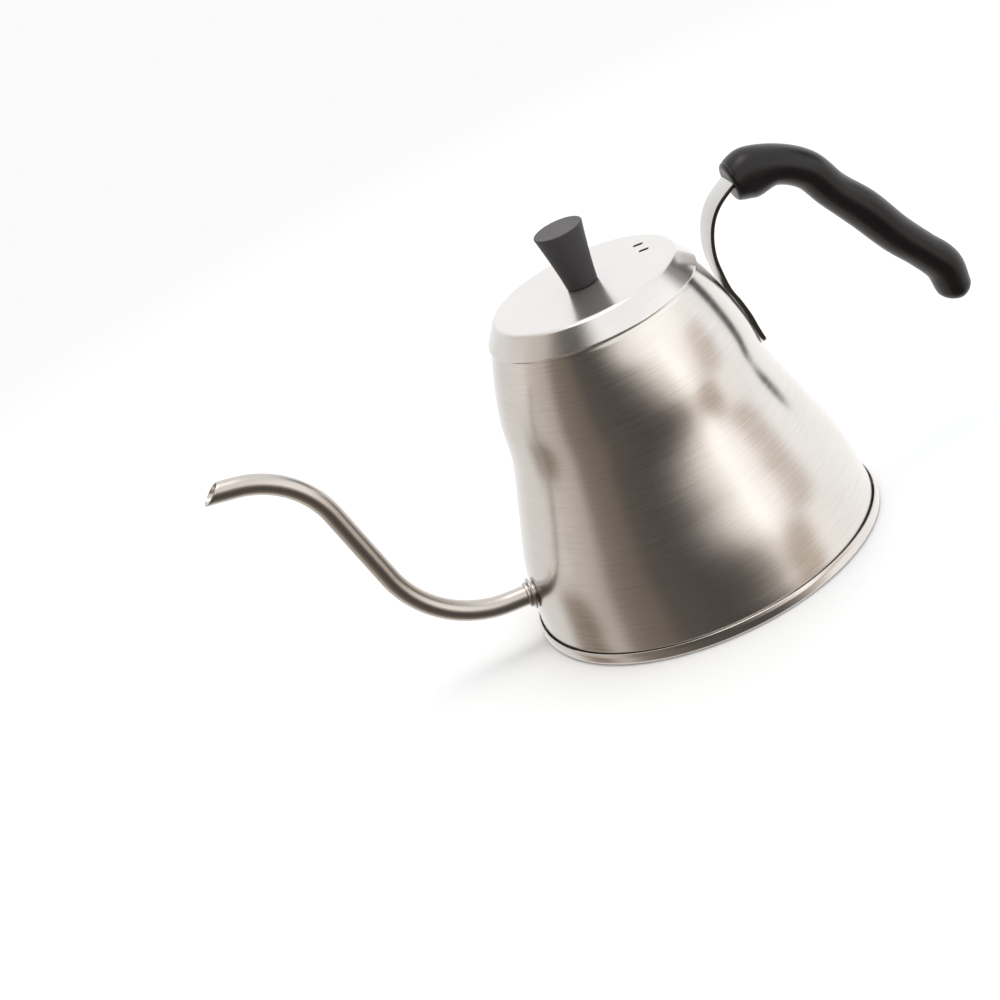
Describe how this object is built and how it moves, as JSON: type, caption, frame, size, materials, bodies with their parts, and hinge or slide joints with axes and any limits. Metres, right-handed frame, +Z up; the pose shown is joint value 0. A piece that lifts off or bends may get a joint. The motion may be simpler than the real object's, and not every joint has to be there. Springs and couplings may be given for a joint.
{
  "type": "gooseneck kettle",
  "caption": "Bell-shaped brushed steel pour-over kettle with a slender swan-neck spout, a strap handle with a black grip and a lift-off lid.",
  "frame": {"origin": "centre of the flat underside of the base, on the surface the kettle stands on", "axes": "+Z up along the body's axis, spout towards -X, handle towards +X, Y across the width"},
  "size_m": [0.3167, 0.15, 0.1564],
  "materials": {
    "brushed_steel": "brushed around the body",
    "satin_steel": "satin",
    "spout_steel": "satin",
    "strap_steel": "satin",
    "screw_steel": "plain zinc-bright steel",
    "aluminium": "mill finish",
    "brass": "turned",
    "grip_black": "satin moulded black",
    "knob_black": "satin moulded charcoal"
  },
  "bodies": {
    "kettle": {"base_ring": "brushed_steel", "base_pan": "satin_steel", "heat_spreader": "aluminium", "base_cover": "satin_steel", "body_shell": "brushed_steel", "mouth_ring": "satin_steel", "spout_tube": "spout_steel", "spout_flange": "spout_steel", "spout_collar": "spout_steel", "handle_strap": "strap_steel", "grip": "grip_black", "grip_screw": "screw_steel", "grip_washer": "screw_steel", "grip_insert": "brass"},
    "lid": {"lid_cap": "satin_steel", "lid_plug": "satin_steel", "lid_knob": "knob_black", "knob_insert": "brass", "knob_screw": "screw_steel", "knob_washer": "screw_steel", "knob_lock_washer": "screw_steel"}
  },
  "joints": [
    {"name": "lid_lift", "type": "slide", "parent": "kettle", "child": "lid", "axis": [0, 0, 1], "range_m": [0, 0.06]}
  ]
}
